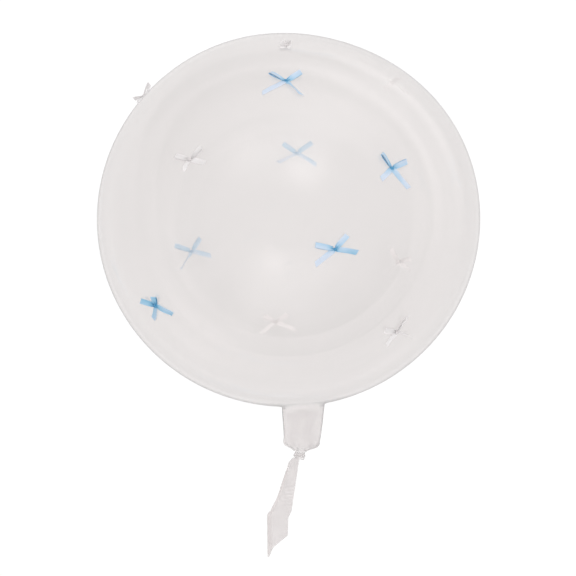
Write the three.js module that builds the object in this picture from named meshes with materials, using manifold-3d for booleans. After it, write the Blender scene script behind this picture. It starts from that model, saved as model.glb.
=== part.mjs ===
// A clear bubble balloon, blown up, knotted and dressed with small satin bows, lying on its back.
// Units are millimetres. +Z is up, and the neck leaves the bubble along -Y. The origin is the middle of
// the small flat spot that the bubble rests on.
import * as THREE from "three";
import { mergeVertices } from "three/addons/utils/BufferGeometryUtils.js";
import Module from "manifold-3d";

// The bubble: an 18 inch film balloon, a little wider than it is tall, with a crown that stretched less
const BUBBLE_WIDTH = 457;
const BUBBLE_HEIGHT = 448;
const CROWN_FLAT = 2.5;
const CROWN_SPREAD = 16; // degrees
const CROWN_LEAN = 14; // degrees from the top, towards +X
const REST_DEPTH = 2; // how far the bubble's lowest point is pressed flat
const BUBBLE_SIDES = 48;
const BUBBLE_RINGS = 28;

// The neck: a short tapered tube that closes over round shoulders to the throat above the knot
const NECK_ROOT_WIDTH = 51;
const NECK_END_WIDTH = 41;
const NECK_LENGTH = 44;
const NECK_ROOT_FLARE = 3;
const SHOULDER_DROP = 11;
const SHOULDER_ROUND = 5;
const THROAT_WIDTH = 12;
const NECK_LEAN = 9; // degrees towards -X
const NECK_CURVE_STEPS = 4;

// The knot: the gathered film turned once round itself
const KNOT_WIDTH = 17;
const KNOT_DEPTH = 14.5;
const KNOT_HEIGHT = 11;
const KNOT_STRAND = 6; // thickness of the turn, which is drawn out to its own height
const KNOT_TURN_HEIGHT = 8.4;
const KNOT_TILT = 18; // degrees

// The tail: what is left of the filling tube below the knot, folded flat, kinked and cut off at a slant
const TAIL_FOLDED = 1.8; // thickness of the folded film
const TAIL_TOP_WIDTH = 12.5;
const TAIL_KINK_WIDTH = 27;
const TAIL_LEAN = 24; // degrees towards -X, above the kink
const TAIL_TO_KINK = 79;
const TAIL_BELOW_KINK = 24; // along its short edge
const TAIL_CUT = 27; // how much longer its other edge is
const TAIL_FLARE = 1.4; // 1 widens and cuts the tail in straight lines, and more than 1 in hollow curves
const TAIL_DROOP = 42; // how far the tip hangs below the knot
const TAIL_DROOP_AT_ONCE = 0.45; // the share of the droop that starts at the knot
const TAIL_STEPS = 12;

// The bows: each is one length of 6 mm satin ribbon tied in a bow with two loops and two tails
const RIBBON_WIDTH = 6;
const RIBBON_THICKNESS = 0.5;
const LOOP_REACH = 21;
const LOOP_RISE = 5;
const LOOP_STEPS = 8;
const BOW_TAIL_LENGTH = 27;
const BOW_TAIL_SLANT = 2.5; // how much longer one corner of the cut end is
const BOW_TAIL_STEPS = 2;
const BOW_KNOT_WIDTH = 5.5;
const BOW_KNOT_HEIGHT = 3.6;
const GATHERED_WIDTH = 2.4; // of the ribbon where it enters the knot
const GLUE_GAP = 0.4;

const FILM = { color: 0xe8e4e3, roughness: 0.08, metalness: 0, transparent: true, opacity: 0.35 };
const BLUE = { color: 0x8fc3e6, roughness: 0.45, metalness: 0 };
const WHITE = { color: 0xf1ecea, roughness: 0.45, metalness: 0 };

// Where each bow sits, in degrees: around is measured about the neck's axis from the top of the lying
// bubble towards +X, and up is measured from the bubble's waist towards its crown. The loops and tails
// point in the given directions, counter-clockwise from the bow's right, seen from outside.
const BOWS = [
  { name: "bow_blue_high", satin: BLUE, around: 3, up: 40, loops: [140, 32], tails: [-154, -58] },
  { name: "bow_blue_right", satin: BLUE, around: 31, up: 10, loops: [122, 18], tails: [-140, -50] },
  { name: "bow_blue_middle", satin: BLUE, around: 12, up: -11, loops: [164, 46], tails: [-145, -10] },
  { name: "bow_blue_left", satin: BLUE, around: -48, up: -23, loops: [158, 66], tails: [-130, -30] },
  { name: "bow_blue_under_high", satin: BLUE, around: 175, up: 24, loops: [150, 42], tails: [-146, -26] },
  { name: "bow_blue_under_left", satin: BLUE, around: -146, up: -6, loops: [134, 20], tails: [-166, -50] },
  { name: "bow_white_left", satin: WHITE, around: -28, up: 17, loops: [163, 40], tails: [-137, -14] },
  { name: "bow_white_low_right", satin: WHITE, around: 38, up: -38, loops: [168, 80], tails: [-110, -15] },
  { name: "bow_white_crown", satin: WHITE, around: 6, up: 58, loops: [125, 55], tails: [-160, -25] },
  { name: "bow_white_rim", satin: WHITE, around: -90, up: 44, loops: [-150, 100], tails: [-55, 20] },
  { name: "bow_white_under_rim", satin: WHITE, around: 118, up: 45, loops: [165, 58], tails: [-126, -12] },
  { name: "bow_white_under_side", satin: WHITE, around: 142, up: -15, loops: [172, 51], tails: [-149, 0] },
  { name: "bow_white_under_low", satin: WHITE, around: -172, up: -33, loops: [147, 40], tails: [-149, -33] },
];

const HALF_WIDTH = BUBBLE_WIDTH / 2;
const HALF_HEIGHT = BUBBLE_HEIGHT / 2;
const CENTRE_HEIGHT = HALF_WIDTH - REST_DEPTH;
const rad = THREE.MathUtils.degToRad;
const lerp = THREE.MathUtils.lerp;

const wasm = await Module();
wasm.setup();

// A closed geometry as a solid for joining and cutting, with its shared vertices merged
function solidOf(geometry) {
  const bare = geometry.clone().deleteAttribute("normal").deleteAttribute("uv");
  const merged = mergeVertices(bare, 1e-4);
  return new wasm.Manifold(
    new wasm.Mesh({
      numProp: 3,
      vertProperties: merged.attributes.position.array,
      triVerts: new Uint32Array(merged.index.array),
    }),
  );
}

function geometryOf(solid) {
  const mesh = solid.getMesh();
  const geometry = new THREE.BufferGeometry();
  geometry.setAttribute("position", new THREE.BufferAttribute(mesh.vertProperties, 3));
  geometry.setIndex(new THREE.BufferAttribute(mesh.triVerts, 1));
  geometry.computeVertexNormals();
  return geometry;
}

// Moves every vertex of a geometry by a function that changes the point it is given
function reshape(geometry, change) {
  const position = geometry.attributes.position;
  const point = new THREE.Vector3();
  for (let i = 0; i < position.count; i++) {
    change(point.fromBufferAttribute(position, i));
    position.setXYZ(i, point.x, point.y, point.z);
  }
  return geometry;
}

// Bubble and neck

const ROOT_RADIUS = NECK_ROOT_WIDTH / 2;
const END_RADIUS = NECK_END_WIDTH / 2;
const THROAT_RADIUS = THROAT_WIDTH / 2;
const ROOT_Y = -HALF_HEIGHT * Math.sqrt(1 - (ROOT_RADIUS / HALF_WIDTH) ** 2);
const SHOULDER_Y = ROOT_Y - NECK_LENGTH;
const THROAT_Y = SHOULDER_Y - SHOULDER_DROP;
const KNOT_Y = THROAT_Y - KNOT_HEIGHT / 2;

// The outline from the knot up to the crown, as (radius, height) pairs for a lathe about Y
function bubbleOutline() {
  const flareRadius = ROOT_RADIUS + NECK_ROOT_FLARE;
  const flareY = -HALF_HEIGHT * Math.sqrt(1 - (flareRadius / HALF_WIDTH) ** 2);
  const neck = new THREE.Path();
  neck.moveTo(THROAT_RADIUS, THROAT_Y);
  neck.lineTo(END_RADIUS - SHOULDER_ROUND, SHOULDER_Y - SHOULDER_ROUND);
  const upright = SHOULDER_Y + SHOULDER_ROUND;
  neck.quadraticCurveTo(END_RADIUS, SHOULDER_Y - SHOULDER_ROUND / 2, END_RADIUS, upright);
  neck.lineTo(ROOT_RADIUS, ROOT_Y - NECK_ROOT_FLARE);
  neck.quadraticCurveTo(ROOT_RADIUS, ROOT_Y, flareRadius, flareY);
  const points = [new THREE.Vector2(0, KNOT_Y), new THREE.Vector2(THROAT_RADIUS, KNOT_Y)];
  points.push(...neck.getPoints(NECK_CURVE_STEPS));
  const ring = Math.PI / BUBBLE_RINGS;
  const first = Math.ceil(Math.asin(flareRadius / HALF_WIDTH) / ring + 0.25);
  for (let i = first; i < BUBBLE_RINGS; i++) {
    points.push(new THREE.Vector2(HALF_WIDTH * Math.sin(ring * i), -HALF_HEIGHT * Math.cos(ring * i)));
  }
  points.push(new THREE.Vector2(0, HALF_HEIGHT));
  return points;
}

const CROWN = new THREE.Vector3(Math.sin(rad(CROWN_LEAN)), Math.cos(rad(CROWN_LEAN)), 0);

// Presses the crown in a little, all round the direction that it leans in
function flattenCrown(point) {
  const away = THREE.MathUtils.radToDeg(point.angleTo(CROWN)) / CROWN_SPREAD;
  point.addScaledVector(CROWN, -CROWN_FLAT * Math.exp(-away * away));
}

// How far the neck and everything below it has leant sideways at a height
function leanAt(y) {
  return Math.min(0, y - ROOT_Y) * Math.tan(rad(NECK_LEAN));
}

function bubbleSolid() {
  const lathe = new THREE.LatheGeometry(bubbleOutline(), BUBBLE_SIDES);
  reshape(lathe, flattenCrown);
  reshape(lathe, (point) => point.setX(point.x + leanAt(point.y)));
  const table = new THREE.BoxGeometry(BUBBLE_WIDTH, BUBBLE_HEIGHT, BUBBLE_WIDTH);
  table.translate(0, 0, -CENTRE_HEIGHT - BUBBLE_WIDTH / 2);
  return solidOf(lathe).subtract(solidOf(table));
}

// Knot

const KNOT_CENTRE = new THREE.Vector3(leanAt(KNOT_Y), KNOT_Y, 0);

// One turn of the gathered film, lying round the neck's axis, over the core that it is drawn tight on
function knotSolid() {
  const strand = KNOT_STRAND / 2;
  const turn = new THREE.TorusGeometry(KNOT_WIDTH / 2 - strand, strand, 8, 16);
  turn.scale(1, KNOT_DEPTH / KNOT_WIDTH, KNOT_TURN_HEIGHT / KNOT_STRAND);
  turn.rotateX(Math.PI / 2);
  turn.rotateZ(rad(KNOT_TILT));
  const core = new THREE.SphereGeometry(KNOT_HEIGHT / 2, 12, 8);
  return solidOf(turn).add(solidOf(core)).translate(KNOT_CENTRE.toArray());
}

// Tail

const KINK_X = KNOT_CENTRE.x - TAIL_TO_KINK * Math.sin(rad(TAIL_LEAN));
const KINK_Y = KNOT_CENTRE.y - TAIL_TO_KINK * Math.cos(rad(TAIL_LEAN));
const TAIL_RUN = KNOT_CENTRE.y - KINK_Y + TAIL_BELOW_KINK + TAIL_CUT;

// Lays a flat strip along the tail. Its x runs from 0 at the knot to 1 at the kink and 2 at the cut end,
// its y from -1 on the long edge to 1 on the short edge, and its z through the folded film.
function wrapTail(point) {
  const above = Math.min(point.x, 1);
  const below = Math.max(point.x - 1, 0);
  const half = lerp(TAIL_TOP_WIDTH, TAIL_KINK_WIDTH, above ** TAIL_FLARE) / 2;
  const length = TAIL_BELOW_KINK + TAIL_CUT * ((1 - point.y) / 2) ** TAIL_FLARE;
  const x = lerp(KNOT_CENTRE.x, KINK_X, above) + point.y * half;
  const y = lerp(KNOT_CENTRE.y, KINK_Y, above) - below * length;
  const run = (KNOT_CENTRE.y - y) / TAIL_RUN;
  const droop = TAIL_DROOP * run * lerp(TAIL_DROOP_AT_ONCE, 1, run);
  point.set(x, y, KNOT_CENTRE.z - droop + point.z * TAIL_FOLDED);
}

function tailSolid() {
  const strip = new THREE.BoxGeometry(2, 2, 1, TAIL_STEPS, 3, 1);
  strip.translate(1, 0, 0);
  return solidOf(reshape(strip, wrapTail));
}

// Bows

// The film curves away below a bow at least as much as this at a distance from the bow's knot
function dropAt(run) {
  const gentlest = Math.max(HALF_WIDTH, HALF_WIDTH ** 2 / HALF_HEIGHT, HALF_HEIGHT ** 2 / HALF_WIDTH);
  return run ** 2 / (2 * gentlest);
}

// A ribbon along a path of (run, rise) points, gathered at the knot and flat further out. The path is a
// function of the share of the ribbon's length, and a slant makes one corner of its far end longer.
function ribbonAlong(path, steps, slant) {
  const strip = new THREE.BoxGeometry(1, 1, RIBBON_THICKNESS, steps, 1, 1).translate(0.5, 0, 0);
  const step = 0.01;
  return reshape(strip, (point) => {
    const share = point.x;
    const here = path(share);
    const ahead = path(share + step).sub(path(share - step)).normalize();
    const width = lerp(GATHERED_WIDTH, RIBBON_WIDTH, Math.min(1, here.x / RIBBON_WIDTH));
    const longer = slant * share * point.y;
    point.set(
      here.x + ahead.x * longer - ahead.y * point.z,
      point.y * width,
      here.y + ahead.y * longer + ahead.x * point.z,
    );
  });
}

// A loop leaves the knot close to the film, turns round its end and comes back above itself
function loopPath(share) {
  const turn = 2 * Math.PI * share;
  const run = (LOOP_REACH * (1 - Math.cos(turn))) / 2;
  const middle = GLUE_GAP + (RIBBON_THICKNESS + LOOP_RISE) / 2;
  const fullest = 4 / Math.sqrt(27);
  const plump = (Math.sin(turn) * Math.sin(turn / 2)) / fullest;
  return new THREE.Vector2(run, middle - (plump * LOOP_RISE) / 2 - dropAt(run));
}

// A tail leaves the knot at its middle height and is down on the film after its first step
function tailPath(share) {
  const run = share * BOW_TAIL_LENGTH;
  const knot = GLUE_GAP + BOW_KNOT_HEIGHT / 2;
  const laid = GLUE_GAP + RIBBON_THICKNESS / 2;
  return new THREE.Vector2(run, lerp(knot, laid, Math.min(1, share * BOW_TAIL_STEPS)) - dropAt(run));
}

function bowSolid(bow) {
  const knot = new THREE.SphereGeometry(0.5, 8, 4);
  knot.scale(BOW_KNOT_WIDTH, BOW_KNOT_WIDTH, BOW_KNOT_HEIGHT);
  knot.translate(0, 0, GLUE_GAP + BOW_KNOT_HEIGHT / 2);
  let solid = solidOf(knot);
  for (const angle of bow.loops) {
    solid = solid.add(solidOf(ribbonAlong(loopPath, LOOP_STEPS, 0).rotateZ(rad(angle))));
  }
  for (const angle of bow.tails) {
    solid = solid.add(solidOf(ribbonAlong(tailPath, BOW_TAIL_STEPS, BOW_TAIL_SLANT).rotateZ(rad(angle))));
  }
  return solid;
}

// Lays a bow on the bubble's skin, with its own Z along the outward normal and its Y towards the crown
function placeBow(mesh, bow) {
  const halves = new THREE.Vector3(HALF_WIDTH, HALF_HEIGHT, HALF_WIDTH);
  const level = Math.cos(rad(bow.up));
  const at = new THREE.Vector3(Math.sin(rad(bow.around)) * level, Math.sin(rad(bow.up)), 0);
  at.setZ(Math.cos(rad(bow.around)) * level);
  at.divideScalar(at.clone().divide(halves).length());
  const normal = at.clone().divide(halves).divide(halves).normalize();
  const right = new THREE.Vector3(0, 1, 0).cross(normal).normalize();
  const crownwards = normal.clone().cross(right);
  mesh.quaternion.setFromRotationMatrix(new THREE.Matrix4().makeBasis(right, crownwards, normal));
  mesh.position.copy(at);
}

function meshOf(name, solid, finish) {
  const mesh = new THREE.Mesh(geometryOf(solid), new THREE.MeshStandardMaterial(finish));
  mesh.name = name;
  return mesh;
}

const balloon = new THREE.Group();
balloon.position.z = CENTRE_HEIGHT;
balloon.add(meshOf("balloon", bubbleSolid().add(knotSolid()).add(tailSolid()), FILM));
for (const bow of BOWS) {
  const mesh = meshOf(bow.name, bowSolid(bow), bow.satin);
  placeBow(mesh, bow);
  balloon.add(mesh);
}

export default balloon;
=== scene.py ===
# %% [markdown]
# # A clear bubble balloon with satin bows
# This lesson dresses a ready-made solid of a lying bubble balloon with what the eye sees: a skin of clear
# film so thin that both of its walls show, a knot and a folded tail of the same film, and thirteen small
# bows tied from satin ribbon. Everything is in metres, with +Z up, and the neck points along -Y.

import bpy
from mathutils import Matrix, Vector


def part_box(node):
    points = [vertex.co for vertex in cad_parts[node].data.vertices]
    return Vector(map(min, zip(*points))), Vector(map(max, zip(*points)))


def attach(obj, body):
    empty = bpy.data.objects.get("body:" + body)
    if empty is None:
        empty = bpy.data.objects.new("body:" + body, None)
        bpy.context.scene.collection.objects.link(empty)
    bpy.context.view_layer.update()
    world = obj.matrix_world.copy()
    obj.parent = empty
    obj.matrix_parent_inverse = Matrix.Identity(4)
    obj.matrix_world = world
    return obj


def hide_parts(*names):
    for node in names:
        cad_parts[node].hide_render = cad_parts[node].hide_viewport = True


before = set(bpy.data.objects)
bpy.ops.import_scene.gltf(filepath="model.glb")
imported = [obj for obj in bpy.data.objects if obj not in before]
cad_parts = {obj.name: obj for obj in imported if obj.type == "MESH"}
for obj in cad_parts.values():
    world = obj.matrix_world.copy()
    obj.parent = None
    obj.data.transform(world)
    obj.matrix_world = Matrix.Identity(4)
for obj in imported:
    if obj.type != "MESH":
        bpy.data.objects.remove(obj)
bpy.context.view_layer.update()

import math

import bpy
import numpy as np
from mathutils import Euler, Vector

MM = 0.001
film_low, film_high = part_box("balloon")
BUBBLE_HALF_WIDTH = (film_high.x - film_low.x) / 2
BUBBLE_HALF_HEIGHT = 224 * MM
CENTRE = np.array([0.0, 0.0, film_high.z - BUBBLE_HALF_WIDTH])
print("bubble half width", round(BUBBLE_HALF_WIDTH, 4), "centre height", round(CENTRE[2], 4))

# %% [markdown]
# ## The camera
# The photograph shows the balloon upright, but a loose balloon lies down, so the camera looks straight
# down on it. A sphere seen from a known distance has one picture size, so the lens follows from how wide
# the bubble is in the picture. The balloon leans a little in the picture: the camera turns by that angle.

# %% Place the camera
PICTURE = 576  # pixels along each side
BUBBLE_HALF_PX = 191.7
BUBBLE_CENTRE_PX = (288.56, 219.48)
LEAN = math.radians(4.6)
DISTANCE = 10 * BUBBLE_HALF_WIDTH
SENSOR = 36.0  # millimetres

lens_px = BUBBLE_HALF_PX * math.sqrt((DISTANCE / BUBBLE_HALF_WIDTH) ** 2 - 1)
right_of_bubble = (PICTURE / 2 - BUBBLE_CENTRE_PX[0]) * DISTANCE / lens_px
above_bubble = (BUBBLE_CENTRE_PX[1] - PICTURE / 2) * DISTANCE / lens_px
camera = bpy.data.objects.new("camera", bpy.data.cameras.new("camera"))
camera.data.sensor_width = SENSOR
camera.data.lens = SENSOR * lens_px / PICTURE
camera.data.clip_end = 30
camera.rotation_euler = Euler((0, 0, -LEAN))
camera.location = (
    right_of_bubble * math.cos(LEAN) + above_bubble * math.sin(LEAN),
    -right_of_bubble * math.sin(LEAN) + above_bubble * math.cos(LEAN),
    CENTRE[2] + DISTANCE,
)
scene = bpy.context.scene
scene.collection.objects.link(camera)
scene.camera = camera
print("lens", round(camera.data.lens, 1), "mm, camera at", [round(v, 3) for v in camera.location])

# %% [markdown]
# ## A pale floor and soft light
# Clear film shows nothing of its own: it shows the room. The floor is near white, and a broad lamp that the
# film can't mirror keeps it so. What the film does mirror comes after it, as sheets of soft light.

# %% Lay the floor
FLOOR_HEIGHT = -0.4 * MM
FLOOR_REACH = 14.0  # metres from the balloon
CORNERS = ((-1, -1), (1, -1), (1, 1), (-1, 1))

floor_mesh = bpy.data.meshes.new("floor")
floor_corners = [(x * FLOOR_REACH, y * FLOOR_REACH, FLOOR_HEIGHT) for x, y in CORNERS]
floor_mesh.from_pydata(floor_corners, [], [(0, 1, 2, 3)])
floor = bpy.data.objects.new("floor", floor_mesh)
scene.collection.objects.link(floor)
print("floor", 2 * FLOOR_REACH, "m wide, at height", FLOOR_HEIGHT)

# %% Light the paper from below
PAPER_LEVEL = 0.49
SHADE = 0.745  # the paper's level under the bubble, as a share of its level elsewhere
SHADE_RADIUS = 0.236
SHADE_SOFTNESS = 0.02
SHADE_MIDDLE = (0.0006, 0.007, 0)
SHADE_STRETCH = (1, 1.025, 1)


def new_material(name):
    """A material, its node tree and the shader that it starts with."""
    material = bpy.data.materials.new(name)
    material.use_nodes = True
    return material, material.node_tree, material.node_tree.nodes["Principled BSDF"]


def add_node(tree, kind, output, sockets=None, **settings):
    """Adds a node of a kind with its settings, and returns one output. Each of its sockets that is named gets
    either a constant or another node's output."""
    node = tree.nodes.new("ShaderNode" + kind)
    for setting, choice in settings.items():
        setattr(node, setting, choice)
    for socket, source in (sockets or {}).items():
        if isinstance(source, bpy.types.NodeSocket):
            tree.links.new(source, node.inputs[socket])
        else:
            node.inputs[socket].default_value = source
    return node.outputs[output]


def paper():
    """Pale paper on a light table: half its light comes through it. Rendered film casts no shade, so the
    faint one of the real bubble is a round ramp in the paper, measured from the resting spot."""
    material, tree, shader = new_material("pale_paper")
    place = add_node(tree, "TexCoord", "Object")
    centred = add_node(tree, "VectorMath", "Vector", {0: place, 1: SHADE_MIDDLE}, operation="SUBTRACT")
    stretched = add_node(tree, "VectorMath", "Vector", {0: centred, 1: SHADE_STRETCH}, operation="MULTIPLY")
    away = add_node(tree, "VectorMath", "Value", {0: stretched}, operation="LENGTH")
    edge = {"From Min": SHADE_RADIUS, "From Max": SHADE_RADIUS + SHADE_SOFTNESS, "To Min": SHADE}
    ramp = add_node(tree, "MapRange", "Result", {"Value": away, **edge}, interpolation_type="SMOOTHSTEP")
    level = add_node(tree, "VectorMath", "Vector", {0: (PAPER_LEVEL,) * 3, "Scale": ramp}, operation="SCALE")
    shader.inputs["Roughness"].default_value = 0.9
    shader.inputs["Emission Strength"].default_value = 1
    tree.links.new(level, shader.inputs["Base Color"])
    tree.links.new(level, shader.inputs["Emission Color"])
    return material


floor_mesh.materials.append(paper())
floor.visible_glossy = False  # the film mirrors another sheet instead, which is laid further on
print("paper level", PAPER_LEVEL, "and", round(PAPER_LEVEL * SHADE, 3), "under the bubble")


# %% Hang the lamps
def toward_sky(azimuth, elevation):
    """The direction of an azimuth, counter-clockwise from the picture's right, and an elevation, in degrees."""
    turn, tilt = math.radians(azimuth) - LEAN, math.radians(elevation)
    return Vector((math.cos(tilt) * math.cos(turn), math.cos(tilt) * math.sin(turn), math.sin(tilt)))


def add_lamp(name, azimuth, elevation, distance, size, power):
    """A round area lamp that faces the bubble's centre and that neither the camera nor the film can see. Its
    distance and size are in metres and its power is in watts."""
    data = bpy.data.lights.new(name, "AREA")
    data.shape = "DISK"
    data.size = size
    data.energy = power
    toward = toward_sky(azimuth, elevation)
    lamp = bpy.data.objects.new(name, data)
    lamp.location = Vector(CENTRE) + toward * distance
    lamp.rotation_euler = (-toward).to_track_quat("-Z", "Y").to_euler()
    lamp.visible_camera = lamp.visible_glossy = lamp.visible_transmission = False
    scene.collection.objects.link(lamp)


add_lamp("broad_lamp", azimuth=70, elevation=80, distance=3.4, size=4.2, power=62)
print("lamps", [lamp.name for lamp in bpy.data.lights])

# %% Light the room
ROOM_LEVEL = 0.72
world = bpy.data.worlds.new("studio")
scene.world = world
world.use_nodes = True
world.node_tree.nodes["Background"].inputs["Color"].default_value = (ROOM_LEVEL,) * 3 + (1,)
scene.view_settings.view_transform = "Standard"
scene.cycles.max_bounces = 40
scene.cycles.transmission_bounces = 40
scene.cycles.transparent_max_bounces = 24
print("room level", ROOM_LEVEL)

# %% [markdown]
# ## Lights to be mirrored
# The picture's film mirrors two soft lamps, and the edge of a light screen that stands round the balloon,
# once in its near wall and once, smaller, in its far one. Here they are sheets of soft light that only
# mirrored rays can see, each with a level worked out point by point, so that they can fade at their edges.

# %% Glow from a grid
SHEET_COLOUR = (1.0, 0.978, 0.974)


def bump_at(value, middle, width):
    """A bell of height 1 round a middle, exp of minus the square of the distance in widths."""
    return np.exp(-(((value - middle) / width) ** 2))


def turn_bump(turn, middle, width):
    """The same bell on the circle, with the angle in radians and its middle and width in degrees."""
    away = np.angle(np.exp(1j * (turn - math.radians(middle))))
    return bump_at(away, 0, math.radians(width))


def glowing_sheet(name, points, level):
    """A sheet of light from a grid of points, closed in its second direction, with a level for each."""
    rows, round_ = level.shape
    row, step = np.meshgrid(np.arange(rows - 1), np.arange(round_), indexing="ij")
    after = (step + 1) % round_
    corners = [row * round_ + step, (row + 1) * round_ + step, (row + 1) * round_ + after, row * round_ + after]
    mesh = bpy.data.meshes.new(name)
    mesh.from_pydata(points.reshape(-1, 3), [], np.stack(corners, -1).reshape(-1, 4).tolist())
    mesh.attributes.new("level", "FLOAT", "POINT").data.foreach_set("value", level.astype(np.float32).ravel())
    material, tree, shader = new_material(name)
    tree.nodes.remove(shader)
    levels = add_node(tree, "Attribute", "Fac", attribute_name="level")
    light = add_node(tree, "Emission", "Emission", {"Color": SHEET_COLOUR + (1,), "Strength": levels})
    tree.links.new(light, tree.nodes["Material Output"].inputs["Surface"])
    mesh.materials.append(material)
    sheet = bpy.data.objects.new(name, mesh)
    scene.collection.objects.link(sheet)
    sheet.visible_camera = sheet.visible_transmission = sheet.visible_diffuse = sheet.visible_shadow = False
    print(name, level.shape, "level from", level.min().round(2), "to", level.max().round(2))


# %% Spread the sky's glow
SHEET_STEPS = 180
SKY_ROWS = 110
SKY_RADIUS = 2.3
SKY_GLOWS = [  # azimuth, elevation and width in degrees, and peak, which is below 0 for a dark patch
    (122, 52, 13, 0.8),
    (72, 63, 10, 1.2),
    (72, 40, 26, 0.6),
    (90, 50, 8, 0.25),
    (300, 46, 13, -0.36),
    (232, 36, 11, -0.42),
]


def sky_level(points):
    """The room's level plus soft lamps and dark patches, each a bell of the angle from its middle."""
    toward = points - CENTRE
    toward = toward / np.linalg.norm(toward, axis=-1, keepdims=True)
    level = np.full(points.shape[:-1], ROOM_LEVEL)
    for azimuth, elevation, width, peak in SKY_GLOWS:
        away = np.arccos(np.clip(toward @ np.array(toward_sky(azimuth, elevation)), -1, 1))
        level = level + peak * bump_at(away, 0, math.radians(width))
    return level


turn = np.linspace(0, 2 * math.pi, SHEET_STEPS, endpoint=False)[None, :]
from_top = np.linspace(math.radians(0.2), math.radians(84), SKY_ROWS)[:, None]
sky = [np.sin(from_top) * np.cos(turn), np.sin(from_top) * np.sin(turn), np.cos(from_top) + 0 * turn]
sky = CENTRE + SKY_RADIUS * np.stack(sky, -1)
glowing_sheet("sky", sky, sky_level(sky))

# %% Stand the screen up
SCREEN_RADIUS = 0.97
SCREEN_TOP = 0.95
SCREEN_EDGE = 0.59  # height of its bright part's edge, which dips towards the top of the picture
SCREEN_LEVEL = 1.02
EDGE_DIPS = [(130, 36, 0.36), (80, 32, 0.26), (205, 32, 0.07)]  # azimuth, its width, metres
STREAKS = [  # azimuth, its width, height, its width, level
    (35, 36, 0.26, 0.075, 0.85),
    (233, 15, 0.37, 0.09, 0.42),
    (308, 20, 0.15, 0.08, 0.2),
    (70, 30, 0.2, 0.17, 0.46),
    (305, 38, 0.42, 0.14, -0.36),
    (192, 26, 0.42, 0.12, -0.28),
    (235, 28, 0.54, 0.08, -0.3),
]
DARK_ABOVE = 0.06  # how much darker it is above the edge, and there are two darker places
DARK_PLACES = [(135, 42, 0.26), (285, 55, 0.45)]  # azimuth, its width, level
DARK_FADE = 0.3  # metres over which the dark fades upwards
EDGE_BLUR = 0.006
BLURRED_PLACE = (100, 60, 0.06)  # azimuth, its width, metres

screen_edge = SCREEN_EDGE
for middle, width, dip in EDGE_DIPS:
    screen_edge = screen_edge - dip * turn_bump(turn, middle, width)
over = np.concatenate([np.linspace(-1, -0.01, 50), np.linspace(0.01, 1, 60)])[:, None]
screen_height = np.where(over < 0, screen_edge * (1 + over), screen_edge + (SCREEN_TOP - screen_edge) * over**2)
screen_turn = turn - LEAN + 0 * screen_height
screen = np.stack([SCREEN_RADIUS * np.cos(screen_turn), SCREEN_RADIUS * np.sin(screen_turn), screen_height], -1)
lit_level = 0
for middle, width, height, tall, level in STREAKS:
    lit_level = lit_level + level * turn_bump(turn, middle, width) * bump_at(screen_height, height, tall)
lit_level = SCREEN_LEVEL + lit_level
dark = DARK_ABOVE
for middle, width, level in DARK_PLACES:
    dark = dark + level * turn_bump(turn, middle, width)
above = screen_height - screen_edge
blur = EDGE_BLUR + BLURRED_PLACE[2] * turn_bump(turn, *BLURRED_PLACE[:2])
lit_share = 1 / (1 + np.exp(np.clip(above / blur, -30, 30) * 2))
unlit_level = sky_level(screen) - dark * np.exp(-np.maximum(0, above) / DARK_FADE)
glowing_sheet("screen", screen, lit_share * lit_level + (1 - lit_share) * unlit_level)

# %% Lay the mirrored floor
# Close to the balloon the floor is dimmer, as under any real object, and this draws the film's thin outline.
BUBBLE_REACH = 0.235
MIRRORED_LEVELS = {  # by the metres past the bubble's reach
    0: 0.59, 0.045: 0.68, 0.075: 0.78, 0.105: 0.83, 0.17: 0.73, 0.24: 0.83, 0.34: 0.98, 0.7: 1.1, 0.9: 1
}
MIRRORED_TILTS = {  # how much brighter it is towards TILT_TURN, by the same metres
    0: 0.07, 0.045: 0.06, 0.105: 0.03, 0.17: 0, 0.24: -0.1, 0.32: -0.2, 0.42: -0.12, 0.55: 0.05, 0.8: 0.26
}
TILT_TURN = math.radians(58)
BRIGHT_AZIMUTH, BRIGHT_REACH, BRIGHT_LEVEL = (108, 34), (0.5, 0.16), 0.24  # a patch's places and widths

reach = np.concatenate([np.linspace(0.02, 0.6, 80), np.linspace(0.65, FLOOR_REACH, 12)])[:, None]
place = np.stack([reach * np.cos(turn), reach * np.sin(turn)], -1)
past = reach - BUBBLE_REACH
mirrored_level = np.interp(past, list(MIRRORED_LEVELS), list(MIRRORED_LEVELS.values()))
mirrored_tilt = np.interp(past, list(MIRRORED_TILTS), list(MIRRORED_TILTS.values()))
mirrored_level = mirrored_level * (1 + mirrored_tilt * np.cos(turn - TILT_TURN))
bright_patch = BRIGHT_LEVEL * turn_bump(turn, *BRIGHT_AZIMUTH) * bump_at(past, *BRIGHT_REACH)
mirrored_level = mirrored_level + bright_patch
mirrored_floor = np.concatenate([place, np.full(mirrored_level.shape + (1,), FLOOR_HEIGHT)], -1)
glowing_sheet("mirrored_floor", mirrored_floor, mirrored_level)

# %% [markdown]
# ## The film's finish
# The film is a glassy plastic with a faint warm grey haze. Both of its walls are modelled, so the light
# bends in and out of each one and the bubble mirrors the room twice, in front and behind. Edge on, the
# colour deepens, partly as the eye looks through more film and partly as a painted dark outline. Each
# point also says how far the film is gathered at it, and gathered film is deeper in tint and blurs what is
# behind it. On the tail's crumpled stretch that value also carries painted glints.

# %% Mix the clear film
FILM_COLOUR = (0.952, 0.931, 0.926)
CLOUD_SHARE = 0.985  # how much of that colour is left where the film is cloudy
FILM_BUNCHED_COLOUR = (0.66, 0.63, 0.635)  # where it is fully gathered, many plies deep
FILM_EDGE = (0.84, 0.97)  # where its edge starts and stops to darken, from 0 facing the eye to 1 edge on
# edge on, partly the deeper tint of more film and partly a painted dark outline
FILM_EDGE_DARKENING = 0.27
FILM_ROUGHNESS = {"To Min": 0.015, "To Max": 0.04}
PLY_CHANGES = {"From Min": 0.36, "From Max": 0.64, "To Min": 0.9, "To Max": 1.1}
BUNCHING_DEEPENS_EDGE = 0.5
BUNCHING_BLURS = 0.4


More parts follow.
